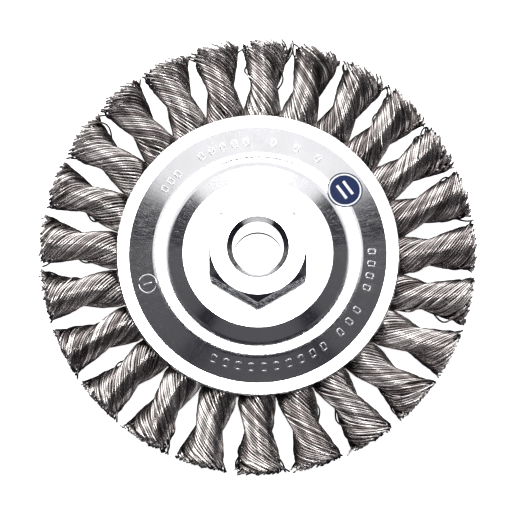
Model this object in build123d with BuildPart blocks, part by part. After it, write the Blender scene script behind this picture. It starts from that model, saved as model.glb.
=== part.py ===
"""Twist-knot wire wheel for an angle grinder, in millimetres.

The wheel lies flat with its hub nut upwards. Its spin axis is +Z, and the origin is on that axis, in the
mid-plane of the retaining disc. Two stamped plates close over a retaining disc. Each wire knot is a bundle
hooked through a hole of that disc, and its two legs are twisted together from the disc's edge outwards. The
hub nut's shank runs through plates, spacers and disc, and its end is swaged over the back plate.
"""

import math
import os

from build123d import *

# Overall sizes
wheel_diameter = 115.0
plate_diameter = 75.0
knot_count = 24
first_knot_angle = -1.0

# Stamped plates: heights are from the mid-plane to the outer face, widths are radial
plate_thickness = 1.2
lip_width = 3.4
lip_height = 5.2
outer_slope_width = 7.3
bead_rise = 1.8
bead_width = 2.3
valley_depth = 0.4
inner_slope_width = 4.7
centre_rise = 1.5
crease_radius = 0.8
valley_radius = 5.0
bead_radius = 5.0
lip_crease_radius = 0.6
rim_round = 0.45

# Retaining disc
disc_thickness = 2.0
disc_setback = 2.0
hole_web = 2.35
hook_inset = 2.85

# Hub nut with its swaged shank
nut_across_flats = 25.4
nut_height = 10.8
nut_chamfer_angle = 30.0
nut_chamfer_inset = 0.35
nut_chamfer_round = 0.3
nut_edge_round = 0.4
thread_diameter = 15.875
threads_per_inch = 11
thread_angle = 60.0
plain_end = 6.0
relief_turns = 1.25
mouth_chamfer = 0.2
mouth_depth = 1.2
shank_diameter = 20.0
spacer_wall = 3.0
swage_width = 2.0
swage_thickness = 1.3
swage_round = 0.6

# Knots: angles are of the line through both strands, from the wheel's own plane
twist_at_disc = 90.0
twist_at_rim = 10.0
twist_rate_at_rim = 9.5
twist_rate_at_tip = 17.0
lobe_share = 0.56
knot_gap = 1.0
start_flatness = 0.7
tip_gap = 1.9
root_slimming = 0.9
tip_slimming = 0.35
flare_power = 5.0
section_step = 16.0
leg_overlap = 0.6
leg_inset = 0.2
trim_allowance = 0.5

# Label
label_diameter = 9.5
label_thickness = 0.12
label_circle_radius = 28.6
label_angle = 36.4

# Clearances
slip_gap = 0.05
wire_gap = 0.1
hook_gap = 0.2
disc_edge_gap = 0.1

# Radii and heights that follow
wheel_radius = wheel_diameter / 2
plate_radius = plate_diameter / 2
lip_inner_radius = plate_radius - lip_width
bead_crest_radius = lip_inner_radius - outer_slope_width
valley_line_radius = bead_crest_radius - bead_width
flat_radius = valley_line_radius - inner_slope_width
bead_height = lip_height + bead_rise
valley_height = bead_height - valley_depth
flat_height = valley_height + centre_rise
flat_inside = flat_height - plate_thickness
lip_inside = lip_height - plate_thickness
thread_pitch = IN / threads_per_inch
thread_depth = 5 / 8 * thread_pitch / 2 / math.tan(math.radians(thread_angle / 2))
thread_radius = thread_diameter / 2
bore_radius = thread_radius - thread_depth
shank_radius = shank_diameter / 2
shank_hole_radius = shank_radius + slip_gap
disc_radius = lip_inner_radius - disc_setback
knot_start_radius = disc_radius + disc_edge_gap
disc_half = disc_thickness / 2
half_pitch = math.pi / knot_count


def plate_profile(rim_radius):
    """Line along a plate's outer face, from the shank hole to the rim, with its stamped bends."""
    return FilletPolyline(
        (shank_hole_radius, flat_height),
        (flat_radius, flat_height),
        (valley_line_radius, valley_height),
        (bead_crest_radius, bead_height),
        (lip_inner_radius, lip_height),
        (rim_radius, lip_height),
        radius=[crease_radius, valley_radius, bead_radius, lip_crease_radius],
    )


# Front plate: one stamping revolved about the axis
with BuildPart() as front_plate:
    with BuildSketch(Plane.XZ):
        with BuildLine():
            plate_profile(plate_radius)
            offset(amount=plate_thickness, side=Side.RIGHT)
        make_face()
    revolve(axis=Axis.Z)
    # both sheared edges of the rim are tumbled round
    fillet(front_plate.edges().filter_by(GeomType.CIRCLE).group_by(SortBy.RADIUS)[-1], radius=rim_round)
front_plate.part.label = "front_plate"

# Back plate: the same stamping turned over
with BuildPart() as back_plate:
    add(mirror(front_plate.part, about=Plane.XY, mode=Mode.PRIVATE))
back_plate.part.label = "back_plate"


# Hook of a knot through the retaining disc: a half turn of wire about the disc's edge web
hook_radius = disc_radius - hook_inset
slope_angle = math.atan2(bead_rise, outer_slope_width)
slope_inside = lip_inside + (lip_inner_radius - hook_radius) * math.tan(slope_angle)
hook_inner = disc_half + slip_gap
hook_outer = slope_inside * math.cos(slope_angle) - hook_gap
hook_thickness = hook_outer - hook_inner
reach_inner = math.sqrt(hook_inner**2 - disc_half**2)
reach_outer = math.sqrt(hook_outer**2 - disc_half**2)
hole_circle_radius = hook_radius - (reach_inner + reach_outer) / 2
hole_half_length = (reach_outer - reach_inner) / 2 + hook_gap
hole_half_width = hole_circle_radius * math.tan(half_pitch) - hole_web / 2
leg_half_width = hole_half_width - hook_gap
pinch = lip_inside - wire_gap

# Retaining disc with one oval hole for each knot
with BuildPart() as retaining_disc:
    with BuildSketch(Plane.XY.offset(-disc_half)):
        Circle(disc_radius)
        Circle(shank_hole_radius, mode=Mode.SUBTRACT)
        with PolarLocations(hole_circle_radius, knot_count, start_angle=first_knot_angle):
            Ellipse(hole_half_length, hole_half_width, mode=Mode.SUBTRACT)
    extrude(amount=disc_thickness)
retaining_disc.part.label = "retaining_disc"

# Spacers hold the plates' centres off the disc when the shank is swaged
with BuildPart() as front_spacer:
    with BuildSketch(Plane.XY.offset(disc_half)):
        Circle(shank_radius + spacer_wall)
        Circle(shank_hole_radius, mode=Mode.SUBTRACT)
    extrude(amount=flat_inside - disc_half)
front_spacer.part.label = "front_spacer"

with BuildPart() as back_spacer:
    add(mirror(front_spacer.part, about=Plane.XY, mode=Mode.PRIVATE))
back_spacer.part.label = "back_spacer"

# Hub nut: hexagon on the front plate, shank through the stack, swaged lip under the back plate
nut_top = flat_height + nut_height
shank_end = -flat_height - swage_thickness
corner_radius = nut_across_flats / math.sqrt(3)
nut_top_radius = nut_across_flats / 2 - nut_chamfer_inset
chamfer_drop = (corner_radius - nut_top_radius) * math.tan(math.radians(nut_chamfer_angle))

# Groove of the hub's thread: it starts above the nut and runs out in a relief, short of the plain end
relief_width = thread_pitch * relief_turns
relief_radius = thread_radius + slip_gap
thread_end = shank_end + plain_end + relief_width
groove_overlap = thread_depth / 6
groove_root = thread_pitch / 8
groove_mouth = thread_pitch * 3 / 4 + 2 * groove_overlap * math.tan(math.radians(thread_angle / 2))
with BuildPart() as thread_groove:
    with BuildLine() as groove_path:
        Helix(
            pitch=thread_pitch,
            height=nut_top + thread_pitch - thread_end + relief_width / 2,
            radius=bore_radius,
            center=(0, 0, thread_end - relief_width / 2),
        )
    with BuildSketch(Plane(origin=groove_path.line @ 0, x_dir=(1, 0, 0), z_dir=groove_path.line % 0)):
        Polygon(
            (-groove_overlap, groove_mouth / 2),
            (-groove_overlap, -groove_mouth / 2),
            (thread_depth, -groove_root / 2),
            (thread_depth, groove_root / 2),
            align=None,
        )
    sweep(is_frenet=True)

with BuildPart() as hub_nut:
    with BuildSketch(Plane.XY.offset(flat_height)):
        RegularPolygon(nut_across_flats / 2, 6, major_radius=False, rotation=30)
    extrude(amount=nut_height)
    fillet(hub_nut.edges().filter_by(Axis.Z), radius=nut_edge_round)
    # the corners are turned off to a cone, and the edge between cone and flats is rounded
    with BuildSketch(Plane.XZ):
        with BuildLine():
            Polyline(
                (0, flat_height),
                (corner_radius, flat_height),
                (corner_radius, nut_top - chamfer_drop),
                (nut_top_radius, nut_top),
                (0, nut_top),
                close=True,
            )
        make_face()
    revolve(axis=Axis.Z, mode=Mode.INTERSECT)
    curved_edges = hub_nut.edges().filter_by(GeomType.LINE, reverse=True)
    fillet(curved_edges.filter_by(GeomType.CIRCLE, reverse=True), radius=nut_chamfer_round)
    with BuildSketch(Plane.XY.offset(flat_height)):
        Circle(shank_radius)
    extrude(amount=-2 * flat_height)
    with BuildSketch(Plane.XY.offset(-flat_height)):
        Circle(shank_radius + swage_width)
    extrude(amount=-swage_thickness)
    fillet(hub_nut.edges().filter_by(GeomType.CIRCLE).group_by(Axis.Z)[0], radius=swage_round)
    # bore at the thread's minor diameter, with a countersunk mouth at each end and a relief for the tap
    with BuildSketch(Plane.XZ):
        with BuildLine():
            Polyline(
                (0, nut_top),
                (thread_radius + mouth_chamfer, nut_top),
                (bore_radius, nut_top - mouth_depth),
                (bore_radius, thread_end),
                (relief_radius, thread_end),
                (relief_radius, thread_end - relief_width),
                (bore_radius, thread_end - relief_width),
                (bore_radius, shank_end + mouth_chamfer),
                (bore_radius + mouth_chamfer, shank_end),
                (0, shank_end),
                close=True,
            )
        make_face()
    revolve(axis=Axis.Z, mode=Mode.SUBTRACT)
    add(thread_groove.part, mode=Mode.SUBTRACT)
hub_nut.part.label = "hub_nut"


def knot_plane(radius):
    """Plane across a knot that runs along +X, with its x along the wheel's turn and its y along +Z."""
    return Plane(origin=(radius, 0, 0), x_dir=(0, 1, 0), z_dir=(1, 0, 0))


def knot_twist(radius):
    """Angle of the line through both strands: upright at the disc's edge, then turning ever faster."""
    if radius < plate_radius:
        share = (radius - knot_start_radius) / (plate_radius - knot_start_radius)
        return twist_at_disc + (twist_at_rim - twist_at_disc) * share
    along = radius - plate_radius
    quickening = (twist_rate_at_tip - twist_rate_at_rim) / (wheel_radius - plate_radius)
    return twist_at_rim - twist_rate_at_rim * along - quickening * along**2 / 2


def free_half_sizes(radius):
    """Half sizes that a knot's section would take with nothing beside it."""
    root_long = plate_radius * math.tan(half_pitch) - knot_gap / 2
    root_wide = root_long - root_slimming
    if radius < plate_radius:
        share = (radius - knot_start_radius) / (plate_radius - knot_start_radius)
        # start_flatness stays above lobe_share, so that a lobe is never longer than it is wide
        start_wide = pinch * start_flatness
        return pinch + (root_long - pinch) * share, start_wide + (root_wide - start_wide) * share
    tip_long = wheel_radius * math.tan(half_pitch) - tip_gap / 2
    tip_wide = tip_long - tip_slimming
    flare = ((radius - plate_radius) / (wheel_radius - plate_radius)) ** flare_power
    return root_long + (tip_long - root_long) * flare, root_wide + (tip_wide - root_wide) * flare


def knot_half_sizes(radius):
    """Half sizes of a knot's section, along the line through both strands and across it."""
    half_long, half_wide = free_half_sizes(radius)
    # the two lips squeeze it from above and below, and the neighbours from both sides
    twist = math.radians(knot_twist(radius))
    rise = abs(math.sin(twist))
    run = abs(math.cos(twist))
    lobe_offset = half_long * (1 - lobe_share)
    lobe_long = half_long * lobe_share
    reach_up = lobe_offset * rise + math.hypot(lobe_long * rise, half_wide * run)
    reach_side = lobe_offset * run + math.hypot(lobe_long * run, half_wide * rise)
    room_up = pinch + max(0, radius - plate_radius)
    room_side = radius * math.tan(half_pitch) - knot_gap / 2
    squeeze = min(1, room_up / reach_up, room_side / reach_side)
    return half_long * squeeze, half_wide * squeeze


# One knot, along +X
last_section = wheel_radius + trim_allowance
inner_count = math.ceil((twist_at_disc - twist_at_rim) / section_step)
outer_count = math.ceil((twist_at_rim - knot_twist(last_section)) / section_step)
inner_step = (plate_radius - knot_start_radius) / inner_count
outer_step = (last_section - plate_radius) / outer_count
section_radii = [knot_start_radius + inner_step * i for i in range(inner_count)]
section_radii += [plate_radius + outer_step * i for i in range(outer_count + 1)]
with BuildPart() as knot:
    # both twisted strands, from the disc's edge to past the trimmed tips
    for at in section_radii:
        half_long, half_wide = knot_half_sizes(at)
        with BuildSketch(knot_plane(at)):
            with PolarLocations(half_long * (1 - lobe_share), 2, start_angle=knot_twist(at)):
                Ellipse(half_long * lobe_share, half_wide)
    loft()
    # tips trimmed to the wheel's diameter
    with BuildSketch(Plane.XY.offset(-wheel_radius)):
        Circle(wheel_diameter)
        Circle(wheel_radius, mode=Mode.SUBTRACT)
    extrude(amount=wheel_diameter, mode=Mode.SUBTRACT)
    # front and back legs, each from the hook into its own strand
    for side in (1, -1):
        with BuildSketch(knot_plane(hook_radius)) as leg_start:
            with Locations((0, side * (hook_inner + hook_thickness / 2))):
                Ellipse(leg_half_width, hook_thickness / 2)
        with BuildSketch(knot_plane(knot_start_radius + leg_overlap)):
            with Locations((0, side * (hook_inner + pinch) / 2)):
                Ellipse(leg_half_width - leg_inset, (pinch - hook_inner) / 2 - leg_inset)
        loft()
    # hook through the disc's hole, which joins the legs
    revolve(leg_start.sketch, axis=Axis((hook_radius, 0, 0), (0, 1, 0)), revolution_arc=180)

# Round label on the front plate, following its stamped face
with BuildPart() as round_label:
    with BuildSketch(Plane.XZ):
        with BuildLine():
            plate_profile(plate_radius)
            offset(amount=label_thickness, side=Side.LEFT)
        make_face()
    revolve(axis=Axis.Z)
    with BuildSketch():
        with PolarLocations(label_circle_radius, 1, start_angle=label_angle):
            Circle(label_diameter / 2)
    extrude(amount=2 * flat_height, mode=Mode.INTERSECT)
round_label.part.label = "round_label"

# One STEP file for each piece
os.makedirs("parts", exist_ok=True)
for piece in (front_plate, back_plate, retaining_disc, front_spacer, back_spacer, hub_nut, round_label):
    export_step(piece.part, f"parts/{piece.part.label}.step")
for i in range(knot_count):
    placed = knot.part.rotate(Axis.Z, first_knot_angle + i * 360 / knot_count)
    placed.label = f"knot_{i + 1:02d}"
    export_step(placed, f"parts/{placed.label}.step")
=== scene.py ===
"""Twist-knot wire wheel: its wires, finishes and studio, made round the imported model.

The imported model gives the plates, the hub nut, the retaining disc, the spacers and the label, which stay and
get their finishes here. Each of its plain knots is replaced by a bundle of wires: every wire runs from a
trimmed tip, along one strand, through the retaining disc and back along the other strand. All lengths are in
metres.
"""

import math
import random

import bmesh
import bpy
from mathutils import Matrix, Vector


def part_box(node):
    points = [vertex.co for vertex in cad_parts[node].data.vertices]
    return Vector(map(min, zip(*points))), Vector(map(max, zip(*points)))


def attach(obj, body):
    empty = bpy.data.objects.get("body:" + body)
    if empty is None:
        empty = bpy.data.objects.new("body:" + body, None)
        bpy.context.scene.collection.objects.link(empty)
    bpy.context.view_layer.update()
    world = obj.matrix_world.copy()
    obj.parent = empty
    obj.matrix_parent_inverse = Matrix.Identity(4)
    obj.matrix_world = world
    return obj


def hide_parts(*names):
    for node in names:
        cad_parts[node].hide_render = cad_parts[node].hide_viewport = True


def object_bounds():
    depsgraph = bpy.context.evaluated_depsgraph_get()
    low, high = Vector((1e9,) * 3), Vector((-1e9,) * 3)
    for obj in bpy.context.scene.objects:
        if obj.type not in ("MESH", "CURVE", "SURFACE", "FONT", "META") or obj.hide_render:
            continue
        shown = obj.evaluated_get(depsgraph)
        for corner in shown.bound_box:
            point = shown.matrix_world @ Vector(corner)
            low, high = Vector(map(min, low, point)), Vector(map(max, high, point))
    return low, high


bl_info = {
    "name": "Twist-Knot Wire Wheel",
    "version": (1, 0, 0),
    "blender": (4, 5, 0),
    "location": "3D View > Sidebar > Wire Wheel",
    "description": "Wires, finishes and studio for a twist-knot wire wheel",
    "category": "Object",
}

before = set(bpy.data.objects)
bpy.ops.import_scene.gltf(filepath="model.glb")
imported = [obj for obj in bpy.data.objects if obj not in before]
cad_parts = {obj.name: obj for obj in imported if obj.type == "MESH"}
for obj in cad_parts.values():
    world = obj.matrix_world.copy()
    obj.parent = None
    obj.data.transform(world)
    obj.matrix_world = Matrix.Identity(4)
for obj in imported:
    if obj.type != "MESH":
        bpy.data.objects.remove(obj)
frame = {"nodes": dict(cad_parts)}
CAD_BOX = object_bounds()

MM = 0.001
WHEEL_RADIUS = CAD_BOX[1][0]
PLATE_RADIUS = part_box("front_plate")[1].x
DISC_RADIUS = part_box("retaining_disc")[1].x
DISC_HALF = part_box("retaining_disc")[1].z
LOWEST = CAD_BOX[0][2]
CAP_WELD = 1e-4 * MM
TUBE_SIDES = 6
# first angle, step and number of the frames in each stamped group, in degrees about the axis
FRAME_GROUPS = ((145, -5, 3), (120, -6, 5), (82, -12, 3), (1, -6.2, 4), (-30, -7, 3), (-55, -6.4, 10))
RIDGE_ROUNDING = 0.3
TWISTED_STEPS = 24
GATHERED_STEPS = 6
HOOK_STEPS = 8
# shares of the label's radius
LABEL_RING = (0.84, 0.93)
LABEL_BAR_PLACE = 0.22
LABEL_BAR_HALF_WIDTH = 0.08
LABEL_BAR_HALF_HEIGHT = 0.45
# how a wire strays from its strand: places and lengths are in millimetres, the rest are shares
LOOSE_SHARE = 0.08
LOOP_RISE = (0.10, 0.30)
LOOP_PLACE = (42, 53)
LOOP_LENGTH = (1.6, 3.4)
WAVE_RISE = (0, 0.012)
WAVE_LENGTH = (2.0, 3.4)
OPENED_TIP = (0.15, 0.4)
USUAL_TIP = (-0.06, 0.06)
STRAY_START = 0.72
LEAN_POWER = 0.6
GROOVE_POWER = 10
PHASE_SPREAD = 0.22
RIM_SPREAD_REACH = 3 * MM
GATHER_CLEARANCE = 0.4 * MM
FLOOR_RADIUS = 3.0
BACKDROP_RADIUS = 3.2
BACKDROP_GLOW = 0.95
BORE_GLOW_RADIUS = 15 * MM
BORE_GLOW_LIFT = 0.02 * MM
BORE_GLOW = 2.4
WORLD_COLOUR = (0.016, 0.015, 0.022)
# name, place, size and the setting that gives the brightness of each softbox
SOFT_PANELS = (
    ("back_panel", (0, 0.62, 1.2), (1.3, 1.2), "panel_glow"),
    ("overhead_panel", (0, 0.2, 1.3), (0.46, 0.3), "overhead_glow"),
    ("low_back_panel", (0, 1.5, 0.85), (2.4, 0.8), "low_glow"),
    ("left_panel", (-1.45, 0.85, 0.85), (1.0, 0.8), "low_glow"),
    ("right_panel", (1.45, 0.85, 0.85), (1.0, 0.8), "low_glow"),
    ("front_panel", (0, -1.5, 0.45), (2.2, 0.3), "fill_glow"),
    ("faint_left_panel", (-0.9, -0.1, 1.2), (0.8, 1.1), "faint_glow"),
    ("faint_right_panel", (0.9, -0.1, 1.2), (0.8, 1.1), "faint_glow"),
    ("faint_front_panel", (0, -0.75, 1.2), (1.0, 0.6), "faint_glow"),
)
HORIZON_DISTANCE = 1.8
HORIZON_HEIGHT = 0.14
HORIZON_SIZE = (3.4, 0.28)
SENSOR_WIDTH = 36.0
CAMERA_SHIFT = (0.006, -0.008)
FARTHEST_SEEN = 20.0
KNOT_NODES = sorted(name for name in frame["nodes"] if name.startswith("knot_"))


# ---------------------------------------------------------------- settings


class KnotSettings(bpy.types.PropertyGroup):
    """Sizes of the twisted wire knots"""

    wire_diameter: bpy.props.FloatProperty(
        name="Wire Diameter", description="Thickness of one steel wire", default=0.5 * MM, unit="LENGTH",
        precision=5)
    outer_wires: bpy.props.IntProperty(
        name="Outer Wires", description="Wires in the outermost layer of one strand", default=16, min=4)
    layers: bpy.props.IntProperty(
        name="Layers", description="Layers of wires in one strand", default=6, min=1)
    first_angle: bpy.props.FloatProperty(
        name="First Angle", description="Where the first knot stands", default=math.radians(-1),
        subtype="ANGLE")
    twist_at_disc: bpy.props.FloatProperty(
        name="Twist at Disc", description="Angle of the line through both strands at the disc's edge",
        default=math.radians(90), subtype="ANGLE")
    twist_at_rim: bpy.props.FloatProperty(
        name="Twist at Rim", description="Angle of the line through both strands at the plates' rim",
        default=math.radians(10), subtype="ANGLE")
    turn_length_at_rim: bpy.props.FloatProperty(
        name="Turn Length at Rim", description="Length of one full turn, at the rate next to the rim",
        default=38 * MM, unit="LENGTH")
    turn_length_at_tip: bpy.props.FloatProperty(
        name="Turn Length at Tip", description="Length of one full turn, at the rate at the tip",
        default=21 * MM, unit="LENGTH")
    rim_long: bpy.props.FloatProperty(
        name="Rim Half Size", description="Half size at the rim, along the line through both strands",
        default=4.6 * MM, unit="LENGTH")
    rim_spread: bpy.props.FloatProperty(
        name="Rim Spread", description="How much wider the lips press the knot at the rim", default=0.5 * MM,
        unit="LENGTH", precision=5)
    rim_wide: bpy.props.FloatProperty(
        name="Rim Half Width", description="Half size at the rim, across that line", default=3.75 * MM,
        unit="LENGTH")
    tip_long: bpy.props.FloatProperty(
        name="Tip Half Size", description="Half size at the tip, along the line through both strands",
        default=7.0 * MM, unit="LENGTH")
    tip_wide: bpy.props.FloatProperty(
        name="Tip Half Width", description="Half size at the tip, across that line", default=7.0 * MM,
        unit="LENGTH")
    flare: bpy.props.FloatProperty(
        name="Flare", description="How late a knot opens towards its tip", default=5.0, min=1)
    groove: bpy.props.FloatProperty(
        name="Groove", description="Depth of the groove between the strands, as a share", default=0.12,
        subtype="FACTOR")
    lip_room: bpy.props.FloatProperty(
        name="Lip Room", description="Half the space between the two lips", default=3.9 * MM, unit="LENGTH")
    hook_radius: bpy.props.FloatProperty(
        name="Hook Centre", description="Where each hook is centred, from the axis", default=29.25 * MM,
        unit="LENGTH")
    hook_outer: bpy.props.FloatProperty(
        name="Hook Outer Radius", description="Outer radius of a hook", default=4.8 * MM, unit="LENGTH")
    leg_half_width: bpy.props.FloatProperty(
        name="Leg Half Width", description="Half width of a leg beside the disc", default=1.85 * MM,
        unit="LENGTH")
    ragged: bpy.props.FloatProperty(
        name="Ragged Ends", description="How unevenly the tips are cut", default=0.55 * MM, unit="LENGTH",
        precision=5)
    splay: bpy.props.FloatProperty(
        name="Splay", description="How far single wires stray at their tips", default=0.6 * MM, unit="LENGTH",
        precision=5)
    lean: bpy.props.FloatProperty(
        name="Lean", description="How far the tips are bent, about the axis", default=math.radians(3.9),
        subtype="ANGLE")
    lean_start: bpy.props.FloatProperty(
        name="Lean Direction", description="Where the tips are bent the most", default=math.radians(-22),
        subtype="ANGLE")
    seed: bpy.props.IntProperty(name="Seed", description="Start of the random draws", default=7)


class MarkSettings(bpy.types.PropertyGroup):
    """Sizes of the marks stamped on the front plate"""

    circle_radius: bpy.props.FloatProperty(
        name="Mark Circle", description="Where the marks are centred, from the axis", default=30.1 * MM,
        unit="LENGTH")
    frame_height: bpy.props.FloatProperty(
        name="Frame Height", description="Height of a small frame, outwards", default=1.9 * MM, unit="LENGTH")
    frame_width: bpy.props.FloatProperty(
        name="Frame Width", description="Width of a small frame, round the wheel", default=1.2 * MM,
        unit="LENGTH")
    ridge_width: bpy.props.FloatProperty(
        name="Ridge Width", description="Width of every raised line", default=0.36 * MM, unit="LENGTH",
        precision=5)
    ridge_height: bpy.props.FloatProperty(
        name="Ridge Height", description="Height of every raised line", default=0.12 * MM, unit="LENGTH",
        precision=5)
    ring_radius: bpy.props.FloatProperty(
        name="Ring Radius", description="Radius of the stamped ring", default=2.4 * MM, unit="LENGTH")
    ring_angle: bpy.props.FloatProperty(
        name="Ring Place", description="Where the stamped ring stands", default=math.radians(195.5),
        subtype="ANGLE")


class FinishSettings(bpy.types.PropertyGroup):
    """Colours of the metal and of the label"""

    zinc: bpy.props.FloatVectorProperty(
        name="Zinc", description="Bright zinc plate on the plates and nut", default=(0.80, 0.80, 0.82),
        subtype="COLOR")
    wire: bpy.props.FloatVectorProperty(
        name="Wire", description="Drawn steel wire", default=(0.90, 0.86, 0.845), subtype="COLOR")
    wire_dark: bpy.props.FloatVectorProperty(
        name="Dark Wire", description="The darkest wires", default=(0.19, 0.16, 0.158), subtype="COLOR")
    steel: bpy.props.FloatVectorProperty(
        name="Mill Steel", description="Retaining disc and spacers", default=(0.33, 0.32, 0.31),
        subtype="COLOR")
    # painted shade: inside this radius the hub's zinc colour is darkened, standing in for the shade in the bore
    bore_radius: bpy.props.FloatProperty(
        name="Bore Radius", description="The hub is duller inside this radius", default=8.05 * MM,
        unit="LENGTH")
    navy: bpy.props.FloatVectorProperty(
        name="Label", description="Ground colour of the label", default=(0.010, 0.022, 0.085), subtype="COLOR")
    label_white: bpy.props.FloatVectorProperty(
        name="Label Print", description="Printed ring and bars of the label", default=(0.85, 0.86, 0.88),
        subtype="COLOR")


class StageSettings(bpy.types.PropertyGroup):
    """Camera and studio light"""

    elevation: bpy.props.FloatProperty(
        name="Elevation", description="Angle of the camera above the floor", default=math.radians(82),
        subtype="ANGLE")
    distance: bpy.props.FloatProperty(
        name="Distance", description="From the camera to the wheel", default=0.7, unit="LENGTH")
    lens: bpy.props.FloatProperty(name="Lens", description="Focal length, in millimetres", default=181.4)
    panel_glow: bpy.props.FloatProperty(
        name="Back Panel", description="Brightness of the large panel behind the wheel", default=1.05)
    overhead_glow: bpy.props.FloatProperty(
        name="Overhead Panel", description="Brightness of the small panel overhead", default=12.0)
    low_glow: bpy.props.FloatProperty(
        name="Low Panels", description="Brightness of the low panels behind and beside the wheel", default=4.0)
    faint_glow: bpy.props.FloatProperty(
        name="Faint Panels", description="Brightness of the dim panels above the left, right and front",
        default=0.09)
    horizon_glow: bpy.props.FloatProperty(
        name="Horizon", description="Brightness of the narrow panels all round, near the floor", default=0.8)
    fill_glow: bpy.props.FloatProperty(
        name="Fill Panel", description="Brightness of the low panel in front", default=1.5)


# ---------------------------------------------------------------- helpers


def new_object(name, mesh):
    """An object of that mesh, linked to the scene."""
    piece = bpy.data.objects.new(name, mesh)
    bpy.context.scene.collection.objects.link(piece)
    return piece


def finished_mesh(bm, name):
    """A mesh of what the bmesh holds, which is freed."""
    mesh = bpy.data.meshes.new(name)
    bm.to_mesh(mesh)
    bm.free()
    return mesh


def give_material(piece, material):
    """The piece shows only that material."""
    piece.data.materials.clear()
    piece.data.materials.append(material)


def hand_over(piece, slot, *nodes):
    """The finished piece rides on the wheel and stands for the nodes, which are hidden; the slot is not used.
    """
    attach(piece, "root")
    if nodes:
        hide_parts(*nodes)


# ---------------------------------------------------------------- materials


class Nodes:
    """A new material's node tree, with a short call for each kind of node that the finishes use."""

    def __init__(self, name):
        self.material = bpy.data.materials.new(name)
        self.material.use_nodes = True
        self.tree = self.material.node_tree
        self.shader = self.tree.nodes["Principled BSDF"]
        self.place = self.add("ShaderNodeTexCoord").outputs["Object"]

    def add(self, kind, **settings):
        node = self.tree.nodes.new(kind)
        for key, value in settings.items():
            setattr(node, key, value)
        return node

    def link(self, source, target):
        self.tree.links.new(source, target)

    def math(self, operation, first, second=None):
        node = self.add("ShaderNodeMath", operation=operation)
        for socket, value in zip(node.inputs, (first, second)):
            if isinstance(value, bpy.types.NodeSocket):
                self.link(value, socket)
            elif value is not None:
                socket.default_value = value
        return node.outputs[0]

    def vector(self, operation, first, second=None, scale=None):
        node = self.add("ShaderNodeVectorMath", operation=operation)
        for socket, value in zip(node.inputs, (first, second)):
            if isinstance(value, bpy.types.NodeSocket):
                self.link(value, socket)
            elif value is not None:
                socket.default_value = value
        if scale is not None:
            node.inputs["Scale"].default_value = scale
        return node.outputs["Value" if operation == "LENGTH" else "Vector"]

    def noise(self, where, scale, detail=4.0, roughness=0.5):
        node = self.add("ShaderNodeTexNoise")
        self.link(where, node.inputs["Vector"])
        node.inputs["Scale"].default_value = scale
        node.inputs["Detail"].default_value = detail
        node.inputs["Roughness"].default_value = roughness
        return node.outputs["Fac"]

    def spread(self, value, low, high, to_low, to_high):
        node = self.add("ShaderNodeMapRange")
        self.link(value, node.inputs["Value"])
        for key, number in (("From Min", low), ("From Max", high), ("To Min", to_low), ("To Max", to_high)):
            node.inputs[key].default_value = number
        return node.outputs["Result"]

    def mix(self, share, first, second):
        node = self.add("ShaderNodeMix", data_type="RGBA")
        self.link(share, node.inputs["Factor"])
        for socket, colour in ((node.inputs[6], first), (node.inputs[7], second)):
            if isinstance(colour, bpy.types.NodeSocket):
                self.link(colour, socket)
            else:
                socket.default_value = (*colour, 1)
        return node.outputs[2]

    def bump(self, height, strength, distance, under=None):
        node = self.add("ShaderNodeBump")
        node.inputs["Strength"].default_value = strength
        node.inputs["Distance"].default_value = distance
        self.link(height, node.inputs["Height"])
        if under is not None:
            self.link(under, node.inputs["Normal"])
        return node.outputs["Normal"]

    def flattened(self, where):
        """Those coordinates without their height."""
        return self.vector("MULTIPLY", where, (1, 1, 0))

    def distance_from_axis(self):
        return self.vector("LENGTH", self.flattened(self.place))

    def round_place(self, turns, outward):
        """Coordinates that follow the turn of the wheel: fine round it, and stretched outwards."""
        around = self.vector("SCALE", self.vector("NORMALIZE", self.flattened(self.place)), scale=turns)
        lift = self.add("ShaderNodeCombineXYZ")
        self.link(self.math("MULTIPLY", self.distance_from_axis(), outward), lift.inputs["Z"])
        return self.vector("ADD", around, lift.outputs[0])


def zinc_finish(name, colour, streaks, bore=0.0):
    """Bright zinc plate, with radial polishing marks and a speckle, and with painted shade inside a bore of
    that radius, where the colour is darkened.
    """
    nodes = Nodes(name)
    hairs = nodes.noise(nodes.round_place(110, 300), 1.0, 3.0, 0.6)
    speckle = nodes.noise(nodes.place, 2200, 2.0, 0.5)
    clouds = nodes.noise(nodes.place, 140, 3.0, 0.5)
    tone = nodes.spread(clouds, 0.3, 0.7, 0.0, 1.0)
    darker = tuple(channel * 0.93 for channel in colour)
    # painted shade in the bore: inside its radius the zinc colour is darkened to 0.55 of itself
    bore_painted_shade = tuple(channel * 0.55 for channel in colour)
    inside = nodes.math("LESS_THAN", nodes.distance_from_axis(), bore)
    nodes.link(nodes.mix(inside, nodes.mix(tone, darker, colour), bore_painted_shade), nodes.shader.inputs["Base Color"])
    matt = nodes.math("ADD", nodes.spread(hairs, 0.45, 0.75, 0.12, 0.12 + 0.3 * streaks),
                      nodes.spread(speckle, 0.5, 0.75, 0.0, 0.06))
    nodes.link(matt, nodes.shader.inputs["Roughness"])
    first = nodes.bump(hairs, streaks, 0.006 * MM)
    nodes.link(nodes.bump(speckle, 0.3, 0.008 * MM, first), nodes.shader.inputs["Normal"])
    nodes.shader.inputs["Metallic"].default_value = 1.0
    return nodes.material


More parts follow.
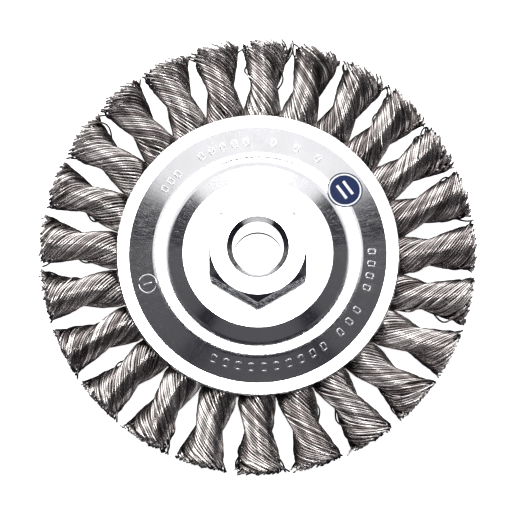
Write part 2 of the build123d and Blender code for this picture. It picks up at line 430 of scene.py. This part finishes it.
def mill_steel_finish(name, colour):
    """Plain rolled steel, a little oily and uneven."""
    nodes = Nodes(name)
    clouds = nodes.noise(nodes.place, 220, 5.0, 0.6)
    grain = nodes.noise(nodes.place, 3000, 2.0, 0.5)
    darker = tuple(channel * 0.6 for channel in colour)
    tone = nodes.spread(clouds, 0.35, 0.65, 0.0, 1.0)
    nodes.link(nodes.mix(tone, darker, colour), nodes.shader.inputs["Base Color"])
    nodes.link(nodes.spread(clouds, 0.3, 0.7, 0.32, 0.5), nodes.shader.inputs["Roughness"])
    nodes.link(nodes.bump(grain, 0.3, 0.02 * MM), nodes.shader.inputs["Normal"])
    nodes.shader.inputs["Metallic"].default_value = 1.0
    return nodes.material


def wire_finish(name, colour, dark):
    """Drawn steel wire: each wire has its own shade, kept in the mesh."""
    nodes = Nodes(name)
    own = nodes.add("ShaderNodeAttribute", attribute_name="wire_shade").outputs["Fac"]
    nodes.link(nodes.mix(own, dark, colour), nodes.shader.inputs["Base Color"])
    nodes.link(nodes.spread(own, 0.0, 1.0, 0.24, 0.17), nodes.shader.inputs["Roughness"])
    nodes.shader.inputs["Metallic"].default_value = 1.0
    return nodes.material


def label_finish(name, centre, radius, ground, ring):
    """Printed vinyl: a dark round ground, a pale ring near its edge and two plain pale bars in the middle."""
    nodes = Nodes(name)
    turned = nodes.add("ShaderNodeMapping", vector_type="TEXTURE")
    turned.inputs["Location"].default_value = (centre.x, centre.y, 0)
    turned.inputs["Rotation"].default_value = (0, 0, math.atan2(centre.y, centre.x))
    nodes.link(nodes.place, turned.inputs["Vector"])
    axes = nodes.add("ShaderNodeSeparateXYZ")
    nodes.link(turned.outputs[0], axes.inputs[0])
    away = nodes.vector("LENGTH", nodes.flattened(turned.outputs[0]))
    in_ring = nodes.math("MULTIPLY", nodes.math("GREATER_THAN", away, radius * LABEL_RING[0]),
                         nodes.math("LESS_THAN", away, radius * LABEL_RING[1]))
    sideways = nodes.math("ABSOLUTE", axes.outputs["X"])
    beside = nodes.math("ABSOLUTE", nodes.math("SUBTRACT", sideways, radius * LABEL_BAR_PLACE))
    in_bars = nodes.math("MULTIPLY", nodes.math("LESS_THAN", beside, radius * LABEL_BAR_HALF_WIDTH),
                         nodes.math("LESS_THAN", nodes.math("ABSOLUTE", axes.outputs["Y"]),
                                    radius * LABEL_BAR_HALF_HEIGHT))
    printed = nodes.math("MAXIMUM", in_ring, in_bars)
    nodes.link(nodes.mix(printed, ground, ring), nodes.shader.inputs["Base Color"])
    scuffs = nodes.noise(nodes.place, 900, 4.0, 0.6)
    nodes.link(nodes.spread(scuffs, 0.3, 0.7, 0.35, 0.55), nodes.shader.inputs["Roughness"])
    nodes.shader.inputs["Specular IOR Level"].default_value = 0.15
    return nodes.material


# ---------------------------------------------------------------- knots


def knot_twist(knots, radius):
    """Angle of the line through both strands, at that distance from the axis."""
    if radius < PLATE_RADIUS:
        share = max(0.0, (radius - DISC_RADIUS) / (PLATE_RADIUS - DISC_RADIUS))
        return knots.twist_at_disc + (knots.twist_at_rim - knots.twist_at_disc) * share
    along = radius - PLATE_RADIUS
    rate = math.tau / knots.turn_length_at_rim
    quickening = (math.tau / knots.turn_length_at_tip - rate) / (WHEEL_RADIUS - PLATE_RADIUS)
    return knots.twist_at_rim - rate * along - quickening * along**2 / 2


def knot_half_sizes(knots, radius):
    """Half sizes of a knot's section, along the line through both strands and across it."""
    if radius < PLATE_RADIUS:
        share = max(0.0, (radius - DISC_RADIUS) / (PLATE_RADIUS - DISC_RADIUS))
        start_long = knots.lip_room
        start_wide = knots.leg_half_width * 1.2
        rim_long = knots.rim_long + knots.rim_spread
        return start_long + (rim_long - start_long) * share, start_wide + (knots.rim_wide - start_wide) * share
    opening = ((radius - PLATE_RADIUS) / (WHEEL_RADIUS - PLATE_RADIUS)) ** knots.flare
    spread = knots.rim_spread * math.exp((PLATE_RADIUS - radius) / RIM_SPREAD_REACH)
    half_long = knots.rim_long + spread + (knots.tip_long - knots.rim_long) * opening
    return half_long, knots.rim_wide + (knots.tip_wide - knots.rim_wide) * opening


def section_point(knots, radius, along, across, phase):
    """Place of a wire in a knot that lies along +X: along and across are its shares of the two half sizes."""
    half_long, half_wide = knot_half_sizes(knots, radius)
    angle = knot_twist(knots, radius) + phase * min(1.0, (radius - DISC_RADIUS) / (PLATE_RADIUS - DISC_RADIUS))
    wire = knots.wire_diameter / 2
    reach_up = math.hypot(half_long * math.sin(angle), half_wide * math.cos(angle))
    reach_side = math.hypot(half_long * math.cos(angle), half_wide * math.sin(angle))
    room_up = knots.lip_room - wire + max(0.0, radius - PLATE_RADIUS)
    room_side = radius * math.tan(math.pi / len(KNOT_NODES)) - wire
    line, side = along * half_long, across * half_wide
    y = (line * math.cos(angle) - side * math.sin(angle)) * min(1.0, room_side / reach_side)
    z = (line * math.sin(angle) + side * math.cos(angle)) * min(1.0, room_up / reach_up)
    return Vector((radius, y, z))


def strand_wires(knots, draw):
    """Shares of the half sizes for every wire of one strand, layer by layer from the outside in."""
    for layer in range(knots.layers):
        depth = 1 - layer / (knots.layers - 0.5)
        count = max(2, round(knots.outer_wires * depth))
        for i in range(count):
            angle = math.pi * ((i + 0.5 + draw.uniform(-0.2, 0.2)) / count - 0.5)
            distance = depth * (1 + draw.uniform(-0.02, 0.02))
            groove = 1 - knots.groove * abs(math.sin(angle)) ** GROOVE_POWER
            yield layer, distance * math.cos(angle), distance * groove * math.sin(angle)


def leg_points(knots, radius, side, along, across):
    """The wire's place in a leg beside the retaining disc, on one side of it."""
    inner = DISC_HALF + knots.wire_diameter
    share = (radius - knots.hook_radius) / (DISC_RADIUS - knots.hook_radius)
    outer = knots.hook_outer - knots.wire_diameter / 2
    outer += (knots.lip_room - knots.wire_diameter / 2 - outer) * share
    return Vector((radius, -across * knots.leg_half_width, side * (inner + (outer - inner) * along)))


def half_wire(knots, draw, side, layer, along, across, phase):
    """Points of one end of a wire, from its trimmed tip in to the hook, in one strand."""
    cut = WHEEL_RADIUS - abs(draw.gauss(0, knots.ragged)) + 0.5 * knots.ragged
    tip_y = section_point(knots, cut, side * along, across, phase).y
    tip = math.sqrt(cut**2 - tip_y**2)
    loop = draw.uniform(*LOOP_RISE) if layer == 0 and draw.random() < LOOSE_SHARE else 0.0
    loop_radius, loop_length = draw.uniform(*LOOP_PLACE) * MM, draw.uniform(*LOOP_LENGTH) * MM
    wave, wave_length = draw.uniform(*WAVE_RISE), draw.uniform(*WAVE_LENGTH) * MM
    wave_start = draw.uniform(0, math.tau)
    tip_range = OPENED_TIP if layer == 0 and draw.random() < LOOSE_SHARE else USUAL_TIP
    opening = draw.uniform(*tip_range)
    stray = Vector((0, draw.gauss(0, knots.splay), draw.gauss(0, knots.splay)))
    points = []
    for i in range(TWISTED_STEPS + 1):
        radius = tip + (PLATE_RADIUS - tip) * i / TWISTED_STEPS
        share = (radius - PLATE_RADIUS) / (WHEEL_RADIUS - PLATE_RADIUS)
        swell = 1 + loop * math.exp(-(((radius - loop_radius) / loop_length) ** 2))
        swell += wave * math.sin(radius / wave_length + wave_start) + opening * max(0.0, share) ** 6
        point = section_point(knots, radius, side * along * swell, across * swell, phase)
        point += stray * max(0.0, (share - STRAY_START) / (1 - STRAY_START)) ** 2
        points.append(point)
    tied = leg_points(knots, DISC_RADIUS, side, along, across)
    for i in range(1, GATHERED_STEPS):
        radius = PLATE_RADIUS + (DISC_RADIUS + GATHER_CLEARANCE - PLATE_RADIUS) * i / GATHERED_STEPS
        loose = section_point(knots, radius, side * along, across, phase)
        share = max(0.0, (i - GATHERED_STEPS + 3) / 3)
        points.append(loose.lerp(Vector((radius, tied.y, tied.z)), share))
    for radius in (DISC_RADIUS, (DISC_RADIUS + knots.hook_radius) / 2, knots.hook_radius):
        points.append(leg_points(knots, radius, side, along, across))
    return points


def whole_wire(knots, draw, layer, along, across, phase, lean):
    """Points of one wire, from tip to tip through the retaining disc."""
    out, back = (half_wire(knots, draw, side, layer, along, across, phase) for side in (1, -1))
    first, last = out[-1], back[-1]
    bend = []
    for i in range(1, HOOK_STEPS):
        angle = math.pi * i / HOOK_STEPS
        bend.append(Vector((knots.hook_radius - first.z * math.sin(angle),
                            first.y + (last.y - first.y) * i / HOOK_STEPS, first.z * math.cos(angle))))
    reach = WHEEL_RADIUS - DISC_RADIUS
    return [Matrix.Rotation(lean * max(0.0, (point.x - DISC_RADIUS) / reach) ** LEAN_POWER, 3, "Z") @ point
            for point in out + bend + back[::-1]]


def wires_to_mesh(name, wires, thickness, shades):
    """A closed tube along every wire, with its shade kept in an attribute."""
    curve = bpy.data.curves.new(name, "CURVE")
    curve.dimensions = "3D"
    curve.bevel_depth = thickness / 2
    curve.bevel_resolution = 1
    curve.use_fill_caps = True
    for points in wires:
        spline = curve.splines.new("POLY")
        spline.points.add(len(points) - 1)
        spline.points.foreach_set("co", [value for point in points for value in (*point, 1.0)])
    holder = new_object(name, curve)
    depsgraph = bpy.context.evaluated_depsgraph_get()
    mesh = bpy.data.meshes.new_from_object(holder.evaluated_get(depsgraph))
    mesh.name = name
    bpy.data.objects.remove(holder)
    bpy.data.curves.remove(curve)
    # the caps of all the wires come first, from the last wire to the first, and then the tubes in order
    shade_of_caps = [shade for shade in reversed(shades) for _ in range(2 * TUBE_SIDES)]
    shade_of_tubes = [shade for points, shade in zip(wires, shades) for _ in range(len(points) * TUBE_SIDES)]
    shade_attribute = mesh.attributes.new("wire_shade", "FLOAT", "POINT")
    shade_attribute.data.foreach_set("value", shade_of_caps + shade_of_tubes)
    bm = bmesh.new()
    bm.from_mesh(mesh)
    bmesh.ops.remove_doubles(bm, verts=bm.verts[:], dist=CAP_WELD)
    if any(not edge.is_manifold for edge in bm.edges):
        raise RuntimeError(f"{name}: a wire isn't closed")
    for face in bm.faces:
        face.smooth = len(face.verts) == 4
    bm.to_mesh(mesh)
    bm.free()
    return mesh


class WHEEL_OT_knots(bpy.types.Operator):
    """Replace every plain knot by a twisted bundle of wires"""

    bl_idname = "wire_wheel.knots"
    bl_label = "Wire Knots"

    def execute(self, context):
        knots = context.scene.wheel_knots
        finish = context.scene.wheel_finish
        steel = wire_finish("drawn_wire", finish.wire, finish.wire_dark)
        for number, node in enumerate(KNOT_NODES):
            draw = random.Random(knots.seed * 1000 + number)
            phase = draw.uniform(-PHASE_SPREAD, PHASE_SPREAD)
            turn = knots.first_angle + math.tau * number / len(KNOT_NODES)
            lean = knots.lean * math.cos(turn - knots.lean_start)
            wires, shades = [], []
            for layer, along, across in strand_wires(knots, draw):
                wires.append(whole_wire(knots, draw, layer, along, across, phase, lean))
                shades.append(draw.uniform(0.0, 1.0))
            mesh = wires_to_mesh(f"wires_{node}", wires, knots.wire_diameter, shades)
            mesh.transform(Matrix.Rotation(turn, 4, "Z"))
            piece = new_object(f"wires_{node}", mesh)
            give_material(piece, steel)
            hand_over(piece, "knot_wire", node)
        return {"FINISHED"}


# ---------------------------------------------------------------- carried-over pieces


class WHEEL_OT_metal(bpy.types.Operator):
    """Finish the plates, the hub nut, the retaining disc, the spacers and the label"""

    bl_idname = "wire_wheel.metal"
    bl_label = "Plates, Hub and Label"

    def execute(self, context):
        finish = context.scene.wheel_finish
        plate = zinc_finish("zinc_plate", finish.zinc, 0.35)
        # the hub's finish paints shade inside the bore radius
        hub = zinc_finish("zinc_hub", finish.zinc, 0.1, finish.bore_radius)
        mill = mill_steel_finish("mill_steel", finish.steel)
        nodes = frame["nodes"]
        for name in ("front_plate", "back_plate"):
            give_material(nodes[name], plate)
        give_material(nodes["hub_nut"], hub)
        for name in ("retaining_disc", "front_spacer", "back_spacer"):
            give_material(nodes[name], mill)
        low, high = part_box("round_label")
        label = label_finish("label_vinyl", (low + high) / 2, (high.x - low.x) / 2, finish.navy,
                             finish.label_white)
        give_material(nodes["round_label"], label)
        return {"FINISHED"}


# ---------------------------------------------------------------- stamped marks


def seat_on_plate(radius, angle):
    """Matrix of a place on the front plate, with its z out of the stamped face and its y away from the axis."""
    plate = frame["nodes"]["front_plate"]
    outward = Vector((math.cos(angle), math.sin(angle), 0))
    found, place, _, _ = plate.ray_cast(outward * radius + Vector((0, 0, 0.1)), Vector((0, 0, -1)))
    beyond = plate.ray_cast(outward * (radius + MM) + Vector((0, 0, 0.1)), Vector((0, 0, -1)))
    if not (found and beyond[0]):
        raise RuntimeError(f"no plate under the mark at {math.degrees(angle):.0f} degrees")
    along = (beyond[1] - place).normalized()
    across = Vector((math.sin(angle), -math.cos(angle), 0))
    turned = Matrix((across, along, across.cross(along))).transposed().to_4x4()
    return Matrix.Translation(place) @ turned


def edges_of(vertices):
    """The edges of those vertices, each once and in the same order every time."""
    return list(dict.fromkeys(edge for vertex in vertices for edge in vertex.link_edges))


def add_ridge(bm, seat, length, marks):
    """A rounded ridge of that length, along the seat's y."""
    size = Matrix.Diagonal((marks.ridge_width, length, 2 * marks.ridge_height, 1))
    made = bmesh.ops.create_cube(bm, size=1.0, matrix=seat @ size)
    bmesh.ops.bevel(bm, geom=edges_of(made["verts"]), offset=marks.ridge_width * RIDGE_ROUNDING, affect="EDGES",
                    segments=2, profile=0.5, material=-1)


def add_frame(bm, seat, marks):
    """A small upright frame of four ridges."""
    half_width, half_height = marks.frame_width / 2, marks.frame_height / 2
    for side in (-1, 1):
        add_ridge(bm, seat @ Matrix.Translation((side * half_width, 0, 0)), marks.frame_height, marks)
        end = Matrix.Translation((0, side * half_height, 0)) @ Matrix.Rotation(math.pi / 2, 4, "Z")
        add_ridge(bm, seat @ end, marks.frame_width, marks)


def add_ring(bm, seat, radius, marks):
    """A rounded ring, flat on the seat."""
    profile = Matrix.Translation((radius, 0, 0)) @ Matrix.Rotation(math.pi / 2, 4, "X")
    profile = profile @ Matrix.Diagonal((1, marks.ridge_height / (marks.ridge_width / 2), 1, 1))
    made = bmesh.ops.create_circle(bm, segments=10, radius=marks.ridge_width / 2, matrix=profile)
    before = set(bm.verts) - set(made["verts"])
    bmesh.ops.spin(bm, geom=made["verts"] + edges_of(made["verts"]), cent=(0, 0, 0), axis=(0, 0, 1),
                   angle=math.tau, steps=40, use_merge=True, use_duplicate=False)
    ring = [vertex for vertex in bm.verts if vertex not in before]
    bmesh.ops.transform(bm, matrix=seat, verts=ring)


class WHEEL_OT_marks(bpy.types.Operator):
    """Stamp plain frames and a ring with a bar on the front plate"""

    bl_idname = "wire_wheel.marks"
    bl_label = "Stamped Marks"

    def execute(self, context):
        marks = context.scene.wheel_marks
        bm = bmesh.new()
        for first, step, count in FRAME_GROUPS:
            for i in range(count):
                angle = math.radians(first + step * i)
                add_frame(bm, seat_on_plate(marks.circle_radius, angle), marks)
        seat = seat_on_plate(marks.circle_radius, marks.ring_angle)
        add_ring(bm, seat, marks.ring_radius, marks)
        add_ridge(bm, seat, marks.ring_radius, marks)
        bmesh.ops.recalc_face_normals(bm, faces=bm.faces[:])
        for face in bm.faces:
            face.smooth = True
        piece = new_object("stamped_marks", finished_mesh(bm, "stamped_marks"))
        give_material(piece, zinc_finish("zinc_marks", context.scene.wheel_finish.zinc, 0.2))
        hand_over(piece, "plate_zinc")
        return {"FINISHED"}


# ---------------------------------------------------------------- stage


def stage_material(name, colour, glow):
    """A pale matt surface with a little light of its own."""
    nodes = Nodes(name)
    nodes.shader.inputs["Base Color"].default_value = (*colour, 1)
    nodes.shader.inputs["Roughness"].default_value = 1.0
    nodes.shader.inputs["Specular IOR Level"].default_value = 0.0
    nodes.shader.inputs["Emission Color"].default_value = (*colour, 1)
    nodes.shader.inputs["Emission Strength"].default_value = glow
    return nodes.material


def seen_only(piece):
    """The stage shows behind the wheel, and isn't mirrored in it."""
    piece.visible_diffuse = False
    piece.visible_glossy = False


def soft_panel(name, place, size, glow):
    """A rectangular softbox that faces the wheel, as bright as a surface of that glow."""
    light = bpy.data.lights.new(name, "AREA")
    light.shape = "RECTANGLE"
    light.size, light.size_y = size
    light.energy = glow * math.pi * size[0] * size[1]
    lamp = new_object(name, light)
    lamp.location = place
    lamp.rotation_euler = (-Vector(place)).to_track_quat("-Z", "Y").to_euler()


class WHEEL_OT_stage(bpy.types.Operator):
    """Set up the floor, the backdrop, the light and the camera"""

    bl_idname = "wire_wheel.stage"
    bl_label = "Studio"

    def execute(self, context):
        settings = context.scene.wheel_stage
        bm = bmesh.new()
        bmesh.ops.create_circle(bm, cap_ends=True, segments=96, radius=FLOOR_RADIUS,
                                matrix=Matrix.Translation((0, 0, LOWEST)))
        floor = new_object("floor", finished_mesh(bm, "floor"))
        give_material(floor, stage_material("pale_floor", (1.0, 1.0, 1.0), 1.0))
        seen_only(floor)
        bm = bmesh.new()
        bmesh.ops.create_circle(bm, cap_ends=True, segments=48, radius=BORE_GLOW_RADIUS,
                                matrix=Matrix.Translation((0, 0, LOWEST + BORE_GLOW_LIFT)))
        glow = new_object("bore_glow", finished_mesh(bm, "bore_glow"))
        give_material(glow, stage_material("bore_glow", (1.0, 1.0, 1.0), BORE_GLOW))
        glow.visible_camera = False
        bm = bmesh.new()
        bmesh.ops.create_uvsphere(bm, u_segments=48, v_segments=24, radius=BACKDROP_RADIUS)
        bmesh.ops.reverse_faces(bm, faces=bm.faces[:])
        backdrop = new_object("backdrop", finished_mesh(bm, "backdrop"))
        give_material(backdrop, stage_material("pale_backdrop", (1.0, 1.0, 1.0), BACKDROP_GLOW))
        backdrop.visible_shadow = False
        seen_only(backdrop)

        world = bpy.data.worlds.new("studio")
        world.use_nodes = True
        world.node_tree.nodes["Background"].inputs["Color"].default_value = (*WORLD_COLOUR, 1)
        context.scene.world = world
        for name, place, size, glow_setting in SOFT_PANELS:
            soft_panel(name, place, size, getattr(settings, glow_setting))
        for side in range(4):
            angle = side * math.pi / 2
            place = (HORIZON_DISTANCE * math.cos(angle), HORIZON_DISTANCE * math.sin(angle), HORIZON_HEIGHT)
            soft_panel(f"horizon_panel_{side + 1}", place, HORIZON_SIZE, settings.horizon_glow)

        camera_data = bpy.data.cameras.new("camera")
        camera_data.lens = settings.lens
        camera_data.sensor_width = SENSOR_WIDTH
        camera_data.shift_x, camera_data.shift_y = CAMERA_SHIFT
        camera_data.clip_end = FARTHEST_SEEN
        camera = new_object("camera", camera_data)
        camera.location = (0, -settings.distance * math.cos(settings.elevation),
                           settings.distance * math.sin(settings.elevation))
        camera.rotation_euler = (math.pi / 2 - settings.elevation, 0, 0)
        context.scene.camera = camera
        context.scene.view_settings.view_transform = "Standard"
        return {"FINISHED"}


# ---------------------------------------------------------------- panel and registration


class WHEEL_PT_panel(bpy.types.Panel):
    """The wheel's settings and what makes each of its groups"""

    bl_idname = "WHEEL_PT_panel"
    bl_label = "Wire Wheel"
    bl_space_type = "VIEW_3D"
    bl_region_type = "UI"
    bl_category = "Wire Wheel"

    def draw(self, context):
        layout = self.layout
        for name in GROUPS:
            settings = getattr(context.scene, name)
            box = layout.box()
            for key in type(settings).__annotations__:
                box.prop(settings, key)
        for operator in OPERATORS:
            layout.operator(operator.bl_idname)


GROUPS = {
    "wheel_knots": KnotSettings,
    "wheel_marks": MarkSettings,
    "wheel_finish": FinishSettings,
    "wheel_stage": StageSettings,
}
OPERATORS = (WHEEL_OT_stage, WHEEL_OT_metal, WHEEL_OT_marks, WHEEL_OT_knots)


def register():
    for name, group in GROUPS.items():
        bpy.utils.register_class(group)
        setattr(bpy.types.Scene, name, bpy.props.PointerProperty(type=group))
    for operator in OPERATORS:
        bpy.utils.register_class(operator)
    bpy.utils.register_class(WHEEL_PT_panel)


def unregister():
    bpy.utils.unregister_class(WHEEL_PT_panel)
    for operator in reversed(OPERATORS):
        bpy.utils.unregister_class(operator)
    for name, group in GROUPS.items():
        delattr(bpy.types.Scene, name)
        bpy.utils.unregister_class(group)


def main():
    register()
    bpy.ops.wire_wheel.stage()
    bpy.ops.wire_wheel.metal()
    bpy.ops.wire_wheel.marks()
    bpy.ops.wire_wheel.knots()


if __name__ == "__main__":
    main()
